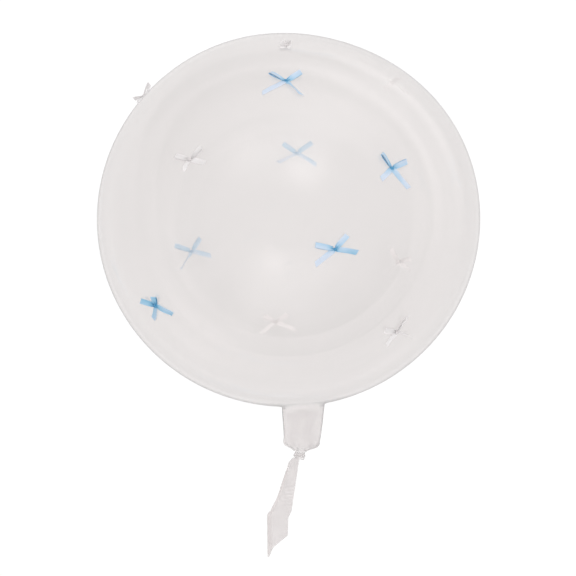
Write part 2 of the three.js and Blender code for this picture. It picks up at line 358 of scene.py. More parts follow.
def add_ramp(tree, place_in_ramp, colours):
    """A colour ramp from its places and their colours, and its output."""
    ramp = add_node(tree, "ValToRGB", "Color", {"Fac": place_in_ramp})
    elements = ramp.node.color_ramp.elements
    for place in list(colours)[1:-1]:
        elements.new(place)
    for element, (place, colour) in zip(elements, colours.items()):
        element.position, element.color = place, colour + (1,)
    return ramp


def clear_film():
    """Principled glass: plain transmission, index and haze, with tint, roughness and bump from noise."""
    material, tree, shader = new_material("clear_film")
    shader.inputs["Transmission Weight"].default_value = 0.9
    shader.inputs["IOR"].default_value = 1.45
    place = add_node(tree, "TexCoord", "Object")
    cloud = add_node(tree, "TexNoise", "Fac", {"Vector": place, "Scale": 9, "Detail": 3})
    tint = add_ramp(tree, cloud, {0.3: tuple(c * CLOUD_SHARE for c in FILM_COLOUR), 0.7: FILM_COLOUR})

    # how far the film is gathered, and on the tail's crumpled stretch its painted glints
    gathered = add_node(tree, "Attribute", "Fac", attribute_name="bunching")
    creasing = {"Vector": place, "Scale": 80, "Detail": 1, "Distortion": 0.8}
    creases = add_node(tree, "TexNoise", "Fac", creasing)
    plies = add_node(tree, "MapRange", "Result", {"Value": creases, **PLY_CHANGES})
    bunching = add_node(tree, "Math", "Value", {0: gathered, 1: plies}, operation="MULTIPLY")
    deepening = {"Factor": bunching, "A": tint, "B": FILM_BUNCHED_COLOUR + (1,)}
    thick = add_node(tree, "Mix", "Result", deepening, data_type="RGBA")

    # darker edge on: partly deeper tint through more film, partly a painted dark outline
    facing = add_node(tree, "LayerWeight", "Facing", {"Blend": 0.5})
    turned_away = {0: gathered, 1: BUNCHING_DEEPENS_EDGE, 2: facing}
    depth = add_node(tree, "Math", "Value", turned_away, operation="MULTIPLY_ADD")
    edge = add_ramp(tree, depth, {FILM_EDGE[0]: (1, 1, 1), FILM_EDGE[1]: (FILM_EDGE_DARKENING,) * 3})
    edged = {"Factor": 1, "A": thick, "B": edge}
    colour = add_node(tree, "Mix", "Result", edged, data_type="RGBA", blend_type="MULTIPLY")
    tree.links.new(colour, shader.inputs["Base Color"])

    smudge = add_node(tree, "TexNoise", "Fac", {"Vector": place, "Scale": 45, "Detail": 4})
    gloss = add_node(tree, "MapRange", "Result", {"Value": smudge, **FILM_ROUGHNESS})
    blurring = {0: gathered, 1: BUNCHING_BLURS, 2: gloss}
    blur = add_node(tree, "Math", "Value", blurring, operation="MULTIPLY_ADD")
    tree.links.new(blur, shader.inputs["Roughness"])
    stretch = add_node(tree, "Bump", "Normal", {"Height": smudge, "Strength": 0.12, "Distance": 0.4 * MM})
    tree.links.new(stretch, shader.inputs["Normal"])
    return material


FILM = clear_film()
print(FILM.name, len(FILM.node_tree.nodes), "nodes")

# %% [markdown]
# ## The ribbon's finish and painted light
# Satin is woven so that long threads float on its face. Turned to the light they shine nearly white, and
# inside a fold they lie in shade; both are painted here. Each point of a ribbon carries its painted light,
# painted sheen high and painted shade low, which picks the colour from a ramp. The map gives millimetres
# along the ribbon and its share across, so the threads follow every twist.

# %% Mix the satin
# Both ramps run from painted shade at 0 to painted sheen at 1, picked by each point's painted light
BLUES = {
    0.0: (0.005, 0.15, 0.36),
    0.25: (0.09, 0.33, 0.54),
    0.5: (0.25, 0.49, 0.67),
    0.75: (0.405, 0.575, 0.735),
    1.0: (0.6, 0.67, 0.785),
}
WHITES = {
    0.0: (0.66, 0.625, 0.625),
    0.3: (0.69, 0.655, 0.655),
    0.6: (0.74, 0.705, 0.705),
    1.0: (0.86, 0.82, 0.82),
}
THREAD_CONTRAST = 0.16
THREAD_STRETCH = (0.2, 45, 1)  # noise cells for each millimetre along, and for the width across
CROSS_THREAD_HEIGHT = 0.4  # as a share of the long threads'
RIBBON_GLOW_DEPTH = 1.5 * MM  # how far light wanders in thin white satin
SELVEDGE = 0.44  # where the woven edge starts, as a share of the width from the middle


def satin(name, ramp_colours, glow_through):
    """Principled cloth: thread streaks, woven edges and cross threads in colour, roughness and bump."""
    material, tree, shader = new_material(name)
    shader.inputs["Sheen Weight"].default_value = 0.2
    shader.inputs["Sheen Roughness"].default_value = 0.4
    shader.inputs["Anisotropic"].default_value = 0.5
    shader.inputs["Specular IOR Level"].default_value = 0.35
    shader.inputs["Subsurface Weight"].default_value = glow_through
    shader.inputs["Subsurface Radius"].default_value = (1, 1, 1)
    shader.inputs["Subsurface Scale"].default_value = RIBBON_GLOW_DEPTH
    ribbon_map = add_node(tree, "UVMap", "UV", uv_map="ribbon_map")
    stretched = add_node(tree, "Mapping", "Vector", {"Vector": ribbon_map, "Scale": THREAD_STRETCH})
    streaks = add_node(tree, "TexNoise", "Fac", {"Vector": stretched, "Scale": 1, "Detail": 3})

    # painted light: each point's level of painted sheen and painted shade
    lustre = add_node(tree, "Attribute", "Fac", attribute_name="lustre")
    lit_threads = {0: streaks, 1: THREAD_CONTRAST, 2: lustre}
    shine = add_node(tree, "Math", "Value", lit_threads, operation="MULTIPLY_ADD")
    tree.links.new(add_ramp(tree, shine, ramp_colours), shader.inputs["Base Color"])
    gloss = add_node(tree, "MapRange", "Result", {"Value": streaks, "To Min": 0.3, "To Max": 0.5})
    tree.links.new(gloss, shader.inputs["Roughness"])

    across = add_node(tree, "SeparateXYZ", "Y", {0: ribbon_map})
    from_middle = add_node(tree, "Math", "Value", {0: across, 1: 0.5}, operation="SUBTRACT")
    either_side = add_node(tree, "Math", "Value", {0: from_middle}, operation="ABSOLUTE")
    selvedge = {"Value": either_side, "From Min": SELVEDGE, "From Max": SELVEDGE + 0.02}
    woven_edge = add_node(tree, "MapRange", "Result", selvedge)
    cross_threads = add_node(tree, "TexWave", "Fac", {"Vector": ribbon_map, "Scale": 1.3, "Distortion": 0.6})
    weave = {0: cross_threads, 1: CROSS_THREAD_HEIGHT, 2: streaks}
    height = add_node(tree, "Math", "Value", weave, operation="MULTIPLY_ADD")
    relief = add_node(tree, "Math", "Value", {0: height, 1: woven_edge}, operation="ADD")
    threads = add_node(tree, "Bump", "Normal", {"Height": relief, "Strength": 0.35, "Distance": 0.08 * MM})
    tree.links.new(threads, shader.inputs["Normal"])
    return material


SATINS = {
    "blue_satin": satin("blue_satin", BLUES, glow_through=0.0),
    "white_satin": satin("white_satin", WHITES, glow_through=0.55),
}
print("satins", list(SATINS))

# %% [markdown]
# ## Closed tubes make every piece
# The film's walls, the knot, the tail and each stretch of ribbon are all the same kind of surface: rings of
# points, one after another, closed at both ends by a point. One function turns such rings into faces, and
# another gathers several of them into one mesh, with a map for the ribbon's threads and further values that
# its material reads at each point, such as how far the film is gathered there.


# %% Turn rings into surfaces
def closed_tube(rings, inward=False):
    """Vertices, quads and triangles of a tube. rings is an array of rows, points round, 3. Each ring joins
    the next, and a fan to the mean of the first and the last ring shuts the ends. The faces are turned
    round if the enclosed volume, the sum of a.(b x c) / 6 over its triangles, has the wrong sign."""
    rows, round_ = rings.shape[:2]
    points = np.vstack([rings.reshape(-1, 3), rings[0].mean(0), rings[-1].mean(0)])
    row, step = np.meshgrid(np.arange(rows - 1), np.arange(round_), indexing="ij")
    after = (step + 1) % round_
    quads = np.stack(
        [row * round_ + step, row * round_ + after, (row + 1) * round_ + after, (row + 1) * round_ + step], -1
    ).reshape(-1, 4)
    turn = np.arange(round_)
    start, end = rows * round_, rows * round_ + 1
    last = (rows - 1) * round_
    fans = np.vstack(
        [
            np.stack([(turn + 1) % round_, turn, np.full(round_, start)], -1),
            np.stack([last + turn, last + (turn + 1) % round_, np.full(round_, end)], -1),
        ]
    )
    corners = np.vstack([quads[:, [0, 1, 2]], quads[:, [0, 2, 3]], fans])
    a, b, c = (points[corners[:, k]] - points.mean(0) for k in range(3))
    volume = np.einsum("ij,ij->i", a, np.cross(b, c)).sum()
    if (volume < 0) != inward:
        quads, fans = quads[:, ::-1], fans[:, ::-1]
    return points, quads, fans


def make_piece(name, tubes, material, maps=None, **values):
    """One smooth-shaded object from several closed tubes. maps gives each tube's map coordinates, and any
    further value, such as bunching, is a list with an array of numbers for each tube's points."""
    counts = np.cumsum([0] + [len(points) for points, _, _ in tubes])
    points = np.vstack([points for points, _, _ in tubes])
    quads = np.vstack([quads + start for (_, quads, _), start in zip(tubes, counts)])
    fans = np.vstack([fans + start for (_, _, fans), start in zip(tubes, counts)])
    mesh = bpy.data.meshes.new(name)
    mesh.from_pydata(points, [], quads.tolist() + fans.tolist())
    mesh.shade_smooth()
    if maps is not None:
        layer = mesh.uv_layers.new(name="ribbon_map")
        corner_points = np.empty(len(mesh.loops), np.int32)
        mesh.loops.foreach_get("vertex_index", corner_points)
        layer.data.foreach_set("uv", np.vstack(maps)[corner_points].astype(np.float32).ravel())
    for value, numbers in values.items():
        numbers = np.concatenate(numbers).astype(np.float32)
        mesh.attributes.new(value, "FLOAT", "POINT").data.foreach_set("value", numbers)
    mesh.materials.append(material)
    piece = bpy.data.objects.new(name, mesh)
    scene.collection.objects.link(piece)
    print(name, len(quads) * 2 + len(fans), "triangles")
    return piece


# %% [markdown]
# ## The bubble and its neck
# On the real balloon the bubble and its neck are one sheet, blown up from a tube. Here they are one surface
# of revolution about Y: half an ellipse, a small flare, a straight taper, a round shoulder and the waist.
# Functions then lean the neck, pleat it towards the waist, ripple it and press the crown and the back flat.

# %% Draw the outline
NECK_ROOT = 25.5 * MM  # half widths
NECK_END = 21.2 * MM
WAIST = 5.6 * MM
NECK_LENGTH = 44 * MM
SHOULDER_DROP = 11 * MM
SHOULDER_ROUND = 5 * MM
NECK_FLARE = 3 * MM
FRONT_FLARE = 27 * MM  # more, in front
NECK_LEAN = math.tan(math.radians(9))
KNOT_HEIGHT = 11 * MM
WALL = 0.3 * MM

root_y = -BUBBLE_HALF_HEIGHT * math.sqrt(1 - (NECK_ROOT / BUBBLE_HALF_WIDTH) ** 2)
shoulder_y = root_y - NECK_LENGTH
waist_y = shoulder_y - SHOULDER_DROP
knot_y = waist_y - KNOT_HEIGHT / 2


def bezier(a, b, c, count):
    """Points on a curve from a to c that leaves and arrives along the lines to b, for each turn."""
    t = np.linspace(0, 1, count)[:, None, None]
    return (1 - t) ** 2 * np.array(a) + 2 * t * (1 - t) * np.array(b) + t**2 * np.array(c)


def bubble_outline(turn):
    """Rows of (radius, y) for each turn round the axis, from the crown down to the middle of the knot. The
    flare into the neck is small at the sides and wide in front, by the cosine's square."""
    more = np.maximum(0, np.cos(turn)) ** 2 * FRONT_FLARE
    level = 0 * more
    flare_radius = NECK_ROOT + NECK_FLARE + more
    flare_y = -BUBBLE_HALF_HEIGHT * np.sqrt(1 - (flare_radius / BUBBLE_HALF_WIDTH) ** 2)
    neck_top = root_y - NECK_FLARE - 0.5 * more
    t = np.linspace(0, 1, 116)[1:, None] * (math.pi - np.arcsin(flare_radius / BUBBLE_HALF_WIDTH))
    bubble = np.stack([BUBBLE_HALF_WIDTH * np.sin(t), BUBBLE_HALF_HEIGHT * np.cos(t)], -1)
    flare = bezier(
        np.stack([flare_radius, flare_y], -1),
        np.stack([level + NECK_ROOT, level + root_y], -1),
        np.stack([level + NECK_ROOT, neck_top], -1),
        20,
    )
    end = (NECK_END, shoulder_y + 2 * MM)
    taper = flare[-1] + np.linspace(0, 1, 26)[:, None, None] * (np.array(end) - flare[-1])
    bend = (NECK_END * 0.62, shoulder_y - SHOULDER_DROP * 0.66)
    shoulder = bezier(end, (NECK_END, shoulder_y - SHOULDER_ROUND), bend, 14)
    pull = bezier(bend, (WAIST * 1.15, waist_y + 0.5 * MM), (WAIST, waist_y - 1.5 * MM), 10)
    core = bezier(pull[-1], (WAIST * 0.9, (waist_y + knot_y) / 2), (WAIST * 0.8, knot_y), 5)
    rest = np.concatenate([shoulder[1:], pull[1:], core[1:]])
    rest = np.broadcast_to(rest, (len(rest), len(turn), 2))
    return np.concatenate([bubble, flare[1:], taper[1:], rest])


ROUND_STEPS = 240
round_turn = np.linspace(0, 2 * math.pi, ROUND_STEPS, endpoint=False)
outline = bubble_outline(round_turn)
print("outline rows", len(outline), "from", outline[0, 0].round(4), "to", outline[-1, 0].round(4))

# %% Shape the bubble
NECK_SWELL = 1.4 * MM  # how far the neck's end stands to the right of its straight line
CROWN_FLAT = 4.1 * MM  # how far the crown is pressed in
CROWN_SPREAD = math.radians(31)
CROWN_TURN = math.radians(23)
NECK_PLEATS = [(9, 0.6, 0.5), (14, 2.1, 0.3), (5, 0, 0.2)]  # waves round the neck, phase, share
PLEAT_DEPTH = 0.16  # of the radius
NECK_WOBBLE = 0.012
RIPPLE_HEIGHT = 0.3 * MM
RIPPLE_STEP = 1.3 * MM
CREASE_DEPTH = 0.9 * MM
BACK_TURN = 0.25 * MM  # how softly the back turns into its flat spot


def smooth(value, low, high):
    """0 below low, 1 above high, and the smooth step 3 t t - 2 t t t between."""
    t = np.clip((value - low) / (high - low), 0, 1)
    return t * t * (3 - 2 * t)


def bubble_rings():
    """Rings of the film's outer face. Radius is the outline's, times 1 plus pleats that grow from the neck's
    end to the waist, plus a wobble, ripples and a crease in the neck. Then the crown is pressed in and the
    neck is leant over."""
    turn = round_turn[None, :]
    radius, y = outline[..., 0], outline[..., 1]
    pleat = sum(share * np.cos(count * turn + phase) for count, phase, share in NECK_PLEATS)
    depth = PLEAT_DEPTH * smooth(-y, -(shoulder_y + 6 * MM), -(waist_y + 1 * MM))
    soft = NECK_WOBBLE * smooth(-y, -root_y + 8 * MM, -shoulder_y) * np.cos(4 * turn + 1.1)
    radius = radius * (1 + depth * pleat + soft)
    front = turn_bump(turn, 3, 20)
    ripple = np.cos((y - root_y) / RIPPLE_STEP) * bump_at(y, root_y - 9 * MM, 9 * MM)
    crease = bump_at(y, (root_y + shoulder_y) / 2 - 6 * MM, 14 * MM) * bump_at(turn, 0.22, 0.1)
    radius = radius + RIPPLE_HEIGHT * ripple * front - CREASE_DEPTH * crease
    x, z = radius * np.sin(turn), radius * np.cos(turn)
    points = np.stack([x, y, z], -1)
    crown = np.array([math.sin(CROWN_TURN), math.cos(CROWN_TURN), 0])
    away = np.arccos(np.clip(points @ crown / np.linalg.norm(points, axis=-1), -1, 1))
    points = points - CROWN_FLAT * bump_at(away, 0, CROWN_SPREAD)[..., None] * crown
    turned = smooth(-points[..., 1], -root_y, -root_y + 24 * MM) * points[..., 0] * NECK_LEAN
    points[..., 0] += np.minimum(0, points[..., 1] - root_y) * NECK_LEAN
    swell = smooth(-points[..., 1], -root_y, -shoulder_y) * (1 - smooth(-points[..., 1], -shoulder_y, -waist_y))
    points[..., 0] += NECK_SWELL * swell
    points[..., 1] -= turned
    return points + CENTRE


def ring_normals(rings):
    """Outward normals of rings: the cross product of the steps along the rings and between them."""
    around = np.roll(rings, -1, 1) - np.roll(rings, 1, 1)
    along = np.gradient(rings, axis=0)
    normal = np.cross(around, along)
    normal /= np.linalg.norm(normal, axis=-1, keepdims=True) + 1e-12
    middle = rings.mean((0, 1))
    if (normal * (rings - middle)).sum() < 0:
        normal = -normal
    return normal


def rest_on(rings, height):
    """Rings pressed flat where they would reach below a height: to it is added half the sum of what is left
    above it and the root of that squared plus a small square, which turns softly into the flat."""
    lifted = rings.copy()
    z = rings[..., 2] - height
    lifted[..., 2] = height + (z + np.sqrt(z * z + BACK_TURN * BACK_TURN)) / 2
    return lifted


outer = bubble_rings()
inner_rows = np.argmax(outline[:, 0, 1] < waist_y - 0.5 * MM)
inner = (outer - WALL * ring_normals(outer))[:inner_rows]
bubble_walls = [closed_tube(rest_on(outer, 0)), closed_tube(rest_on(inner, WALL), inward=True)]
print("bubble walls", [len(points) for points, _, _ in bubble_walls], "points")

# %% [markdown]
# ## The knot
# Below the waist the film is gathered into a rope and tied in a half hitch round itself. The bubble's outline
# already ends as a pleated rope, so the knot only needs one more strand: a helix of a little over one turn,
# tilted as in the picture, with long pleats and ends that taper away inside the rope.

# %% Wind the knot
KNOT_STEPS = 84
STRAND = 2.9 * MM
TURN_WIDTH = 4.3 * MM  # from the rope's middle to the strand's middle
TURN_DEPTH = 3.5 * MM
TURN_RISE = 4.6 * MM
TURN_TILT = math.radians(-20)
TURN_START, TURN_STOP = math.radians(-70), math.radians(400)


def neck_shift(y):
    """How far the leaning neck's middle is to the side at a height, in metres."""
    return np.minimum(0, y - root_y) * NECK_LEAN


def tube_round(path, radius_of, sides=28):
    """Rings round a path, each in the plane of two axes: the path's direction crossed with a fixed one,
    and that crossed with the direction. radius_of gives a radius for a share along and an angle."""
    direction = np.gradient(path, axis=0)
    direction /= np.linalg.norm(direction, axis=1, keepdims=True)
    side = np.cross(direction, (0.1, 1.0, 0.05))
    side /= np.linalg.norm(side, axis=1, keepdims=True)
    other = np.cross(side, direction)
    angle = np.linspace(0, 2 * math.pi, sides, endpoint=False)[None, :, None]
    share = np.linspace(0, 1, len(path))[:, None, None]
    offset = np.cos(angle) * side[:, None, :] + np.sin(angle) * other[:, None, :]
    return path[:, None, :] + radius_of(share, angle) * offset


def knot_strand():
    """Rings of the hitch: a tilted helix whose strand is a circle times 1 plus two waves for the pleats."""
    turn = np.linspace(TURN_START, TURN_STOP, KNOT_STEPS)
    x, z = TURN_WIDTH * np.cos(turn), TURN_DEPTH * np.sin(turn)
    y = np.linspace(TURN_RISE / 2, -TURN_RISE / 2, KNOT_STEPS)
    across = x * math.cos(TURN_TILT) - y * math.sin(TURN_TILT)
    down = x * math.sin(TURN_TILT) + y * math.cos(TURN_TILT)
    middle = CENTRE + (neck_shift(knot_y), knot_y, 0)

    def radius_of(along, angle):
        taper = 0.5 + 0.5 * np.sin(math.pi * along) ** 0.5
        return STRAND * taper * (1 + 0.1 * np.cos(5 * angle + 4 * along) + 0.05 * np.cos(9 * angle - 7 * along))

    return tube_round(middle + np.stack([across, down, z], -1), radius_of)


knot_tubes = [closed_tube(knot_strand())]
print("knot", len(knot_tubes[0][0]), "points")

# %% [markdown]
# ## The tail
# The tail is the rest of the blown tube, pressed flat and cut off on a slant. It is drawn in the picture's
# plane between a left and a right edge, which are straight runs between a few sizes measured on the
# picture, and it sinks towards the table. A hem is folded over along its left edge and ends in the tip.

# %% Draw the tail's edges
TAIL_DROOP = 42 * MM
TAIL_END = 121.5 * MM
TAIL_ROWS = 190
TAIL_LEFT = [(0, -5.6), (7.3, -12.9), (50, -27.0), (65.5, -34.9), (70.5, -39.0), (121.5, -38.4)]
TAIL_RIGHT = [(0, 3.4), (5.6, -0.4), (66, -9.4), (74.5, -13.4), (95.5, -13.9), (110, -31.4), (121.5, -36.5)]
HEM_RIGHT = [(5, -6.5), (8, -10.2), (50, -23.2), (64, -30.0), (71, -33.8), (108.5, -32.6), (121.5, -36.4)]
HEM_TOP = 8 * MM
HEM_LIFT = 1.5 * MM
TAIL_FOLD, HEM_FOLD = 0.8 * MM, 0.45 * MM  # half thickness in a fold
GATHER_LENGTH = 26 * MM
TAIL_PLEAT = 0.55 * MM
CRUMPLE_PLACE = 54 * MM  # down from the knot
CRUMPLE_SPREAD = 15 * MM
CRUMPLE_HEIGHT = 1.2 * MM
FINE_CRINKLE = 0.1 * MM  # on all the rest of the tail


def edge(points, down):
    """The sideways place of an edge at distances down from the knot, from (down, sideways) in mm. A moving
    mean over 2 mm takes the points off its corners."""
    table = np.array(points) * MM
    shifts = np.linspace(-1, 1, 9) * MM
    return np.mean([np.interp(down + shift, table[:, 0], table[:, 1]) for shift in shifts], axis=0)


def waves(u, v, seed, count, longest):
    """A sum of count plane waves of falling length and size, with random directions, between -1 and 1."""
    chance = np.random.default_rng(seed)
    total, weight = 0, 0
    for step in range(count):
        length = longest * 0.72**step
        heading, phase = chance.uniform(0, 2 * math.pi, 2)
        size = 0.8**step
        distance = u * math.cos(heading) + v * math.sin(heading)
        total = total + size * np.sin(distance * 2 * math.pi / length + phase)
        weight += size
    return total / weight


def in_object(sideways, down, depth):
    """Points of the object from the picture's axes: sideways and down from the knot, and depth. The first
    two are as seen, so each point slides along the line from the camera to its depth."""
    knot = np.array([neck_shift(knot_y), knot_y])
    across = np.stack([math.cos(LEAN) * sideways, -math.sin(LEAN) * sideways], -1)
    seen = knot + across - np.stack([math.sin(LEAN) * down, math.cos(LEAN) * down], -1)
    eye = np.array(camera.location[:2])
    slid = eye + (seen - eye) * (1 - depth / DISTANCE)[..., None]
    return np.concatenate([slid, (CENTRE[2] + depth)[..., None]], -1)


def flat_tube(left, right, top, fold, lift, sides=64):
    """Outer and inner rings of a flattened tube. Across it is a cosine from edge to edge and its half
    thickness a sine, thicker at the folds. It sinks by a power of the share down, and waves crumple it."""
    down = np.linspace(top, TAIL_END, TAIL_ROWS)[:, None]
    turn = np.linspace(0, 2 * math.pi, sides, endpoint=False)[None, :]
    a, b = edge(left, down), edge(right, down)
    nominal = (a + b) / 2 - (b - a) / 2 * np.cos(turn)
    side = np.sign(np.sin(turn)) * np.abs(np.sin(turn)) ** 0.7
    gather = 1 - smooth(down, 0, GATHER_LENGTH)
    crinkle = CRUMPLE_HEIGHT * bump_at(down, CRUMPLE_PLACE, CRUMPLE_SPREAD)
    crinkle = crinkle + FINE_CRINKLE * smooth(down, 4 * MM, 30 * MM)
    crumple = crinkle * (1 - 2 * np.abs(waves(nominal, down, 3, 4, 15 * MM)))
    own = 0.3 * crinkle * waves(nominal, down, 8, 4, 9 * MM) * side
    pleats = TAIL_PLEAT * gather * np.cos((nominal - a) / (b - a) * 6 * math.pi)
    middle = -TAIL_DROOP * np.maximum(0, down / TAIL_END) ** 0.9 + lift + crumple + own + pleats
    from_fold = np.minimum(nominal - a, b - nominal)
    half = fold * (0.45 + 0.55 * bump_at(from_fold, 1.0 * MM, 1.2 * MM)) + 1.9 * MM * gather**2
    results = []
    for inset in (0, WALL):
        across = (a + b) / 2 - ((b - a) / 2 - inset) * np.cos(turn)
        depth = middle + side * (half - inset)
        results.append(in_object(across, np.broadcast_to(down, across.shape), depth))
    return results


tail_outer, tail_inner = flat_tube(TAIL_LEFT, TAIL_RIGHT, -1 * MM, TAIL_FOLD, 0)
hem_outer = flat_tube(TAIL_LEFT, HEM_RIGHT, HEM_TOP, HEM_FOLD, HEM_LIFT)[0]
tail_tubes = [
    closed_tube(tail_outer),
    closed_tube(tail_inner[6:-5], inward=True),  # its inner wall stops short of both ends
    closed_tube(hem_outer),
]
print("tail and hem", [len(points) for points, _, _ in tail_tubes], "points")

# %% Join the film
NECK_BUNCHING = 0.355
TAIL_BUNCHING = 0.27
HEM_BUNCHING = 0.3  # as a share of the tail's
KNOT_BUNCHING = 0.12
PAINTED_GLINTS_DOWN, PAINTED_GLINTS_LENGTH = 53 * MM, 13 * MM  # from the knot's middle
PAINTED_GLINTS_SIDEWAYS, PAINTED_GLINTS_WIDTH = -27 * MM, 5 * MM
PAINTED_GLINT_SIZE = 4.5 * MM
PAINTED_GLINT_CONTRAST, PAINTED_GLINT_THRESHOLD = 6, 1.3
PAINTED_GLINT_LIFT = 0.95  # painted glint: how much of its tint a bright painted glint loses


def bunching_of(points):
    """How far the film is gathered at points: not at all on the bubble, most on the neck, less on the tail and
    little in the knot, where many walls already overlap. Waves above a threshold are painted glints on the
    tail's crumpled stretch, specks of lighter tint, and those below it specks of deeper tint."""
    below = points[:, 1]
    on_neck = NECK_BUNCHING * smooth(-below, -root_y - 12 * MM, -root_y + 10 * MM)
    on_tail = (TAIL_BUNCHING - NECK_BUNCHING) * smooth(-below, -knot_y + 2 * MM, -knot_y + 20 * MM)
    away = np.linalg.norm(points - CENTRE - (neck_shift(knot_y), knot_y, 0), axis=1)
    gathered = np.maximum(on_neck + on_tail, KNOT_BUNCHING * (1 - smooth(away, 7 * MM, 12 * MM)))
    painted_glint_stretch = bump_at(below, knot_y - PAINTED_GLINTS_DOWN, PAINTED_GLINTS_LENGTH)
    painted_glint_stretch = painted_glint_stretch * bump_at(points[:, 0], PAINTED_GLINTS_SIDEWAYS, PAINTED_GLINTS_WIDTH)
    # painted glints: bright specks of lighter tint and dark specks of deeper tint
    painted_glints = PAINTED_GLINT_CONTRAST * waves(points[:, 0], below, 12, 6, PAINTED_GLINT_SIZE) - PAINTED_GLINT_THRESHOLD
    return gathered * (1 - PAINTED_GLINT_LIFT * np.clip(painted_glint_stretch * painted_glints, -0.4, 1))


film_tubes = bubble_walls + knot_tubes + tail_tubes
bunching = [bunching_of(points) for points, _, _ in film_tubes]
bunching[-1] = bunching[-1] * HEM_BUNCHING
film = make_piece("clear_film_balloon", film_tubes, FILM, bunching=bunching)
film.visible_shadow = film.visible_diffuse = film.visible_glossy = False
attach(film, "root")
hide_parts("balloon")

# %% [markdown]
# ## The bows
# Each bow is tied from 6 mm satin ribbon: two loops, two tails and a turn of ribbon round their middle. A
# loop or tail is a strip carried along a path. It starts narrow and pleated in the knot, opens to its full
# width, rolls about its own length as real ribbon does, and rests on the film without sinking into it.

# %% Carry a strip along a path
RIBBON_WIDTH = 6 * MM
RIBBON_THICKNESS = 0.22 * MM
GATHERED_WIDTH = 4.2 * MM
OPENING_LENGTH = 4 * MM
LOOP_OPENING = 2.8 * MM
CLEARANCE = 0.45 * MM
STRIP_ROWS = 72
ACROSS = np.array([-1, -0.95, -0.8, -0.6, -0.4, -0.2, 0, 0.2, 0.4, 0.6, 0.8, 0.95, 1])
RIBBON_CUP = 0.25 * MM
RIBBON_PLEAT = 0.45 * MM
PLEAT_WAVE = 2.3 * math.pi  # from the ribbon's middle to its edge
SOFT_REST = 0.3 * MM  # how softly a strip turns where it comes to rest on the film
RIBBON_END_SLANT = 1.4 * MM
RIBBON_WAVE = 0.7 * MM
KNOT_SHADE = 0.45  # painted shade: how much painted light a strip loses in the knot
FOLD_SHADE = 0.24  # and inside a loop
EDGE_SHADE = 0.1  # and from its middle to one of its edges
BAND_LENGTH, BAND_WIDTH, BAND_HEIGHT, BAND_LIFT = 2.2, 1.8, 1.7, 2.0  # half sizes and lift in millimetres


def with_poles(rows):
    """Values for a closed tube's points from those of its rings: its two poles copy the first and last."""
    return np.concatenate([rows, rows[:1], rows[-1:]])


def strip(path, side, from_knot, phase, lustre, slant=0.0):
    """A closed strip: its rings, its map and its painted light. The middle surface is the path plus side times
    half width times a share across, with a cup and knot pleats along its normal. Then it is kept above the
    film, which falls away by the square of the distance over the bubble's width."""
    share = np.linspace(0, 1, len(path))[:, None]
    half = (GATHERED_WIDTH + (RIBBON_WIDTH - GATHERED_WIDTH) * smooth(from_knot, 0, OPENING_LENGTH)) / 2
    forward = np.gradient(path, axis=0)
    forward /= np.linalg.norm(forward, axis=1, keepdims=True) + 1e-12
    facing = np.cross(forward, side)
    sheet = path[:, None, :] + side[:, None, :] * (half[:, None] * ACROSS)[..., None]
    gathered = 1 - smooth(from_knot, 0, 1.6 * OPENING_LENGTH)[:, None]
    bulge = RIBBON_CUP * (1 - ACROSS**2) + RIBBON_PLEAT * gathered * np.cos(PLEAT_WAVE * ACROSS + phase)
    sheet = sheet + facing[:, None, :] * bulge[..., None]
    sheet = sheet + forward[:, None, :] * (slant * smooth(share, 0.5, 1) * ACROSS)[..., None]
    curve = (sheet[..., 0] ** 2 + sheet[..., 1] ** 2) / (2 * BUBBLE_HALF_WIDTH)
    over = sheet[..., 2] - CLEARANCE
    sheet[..., 2] = CLEARANCE + (over + np.sqrt(over**2 + SOFT_REST**2)) / 2 - curve
    normal = np.cross(np.gradient(sheet, axis=0), np.gradient(sheet, axis=1))
    normal /= np.linalg.norm(normal, axis=-1, keepdims=True) + 1e-12
    half_thickness = normal * RIBBON_THICKNESS / 2
    rings = np.concatenate([sheet + half_thickness, (sheet - half_thickness)[:, ::-1]], axis=1)
    along = np.repeat(from_knot[:, None], rings.shape[1], 1) / MM
    both_faces = np.concatenate([ACROSS, ACROSS[::-1]])
    across = np.tile(both_faces / 2 + 0.5, (len(path), 1))
    folds = 0.5 + 0.5 * np.cos(PLEAT_WAVE * both_faces + phase)
    # painted light: the arm's level, less painted shade in the knot's pleats, with painted shade growing
    # towards one edge and the other edge lighter
    shine = lustre[:, None] - KNOT_SHADE * gathered * (0.5 + 0.5 * folds) + EDGE_SHADE * both_faces
    return rings, with_poles(np.stack([along, across], -1).reshape(-1, 2)), with_poles(shine.ravel())


def arm_axes(angle):
    """Along, sideways and outward axes of an arm at an angle on the film, counter-clockwise from right."""
    turn = math.radians(angle)
    along = np.array([math.cos(turn), math.sin(turn), 0])
    return along, np.array([-math.sin(turn), math.cos(turn), 0]), np.array([0, 0, 1.0])


def loop_strip(phase, angle, length, roll, lustre, raised=0):
    """A loop: out by the sine of half a turn and round by the sine of a whole one, rolled about its axis.
    It may be raised off the film by an angle."""
    along, sideways, out = arm_axes(angle)
    share = np.linspace(0.02, 0.98, STRIP_ROWS)
    turn = math.radians(roll)
    side = np.tile(math.cos(turn) * sideways + math.sin(turn) * out, (STRIP_ROWS, 1))
    rise = -math.sin(turn) * sideways + math.cos(turn) * out
    run = length * MM * np.sin(math.pi * share) ** 0.8
    opening = -LOOP_OPENING / 2 * np.sin(2 * math.pi * share)
    lift = 1.6 * MM + (LOOP_OPENING + RIBBON_WIDTH * abs(math.sin(turn))) / 2 * np.sin(math.pi * share)
    lift = lift + math.tan(math.radians(raised)) * run
    path = run[:, None] * along + opening[:, None] * rise + lift[:, None] * out
    from_knot = np.minimum(share, 1 - share) * 2 * length * MM
    # painted shade on the loop's first half, the ply nearer the film
    return strip(path, side, from_knot, phase, lustre - FOLD_SHADE * (1 - smooth(share, 0.42, 0.56)))


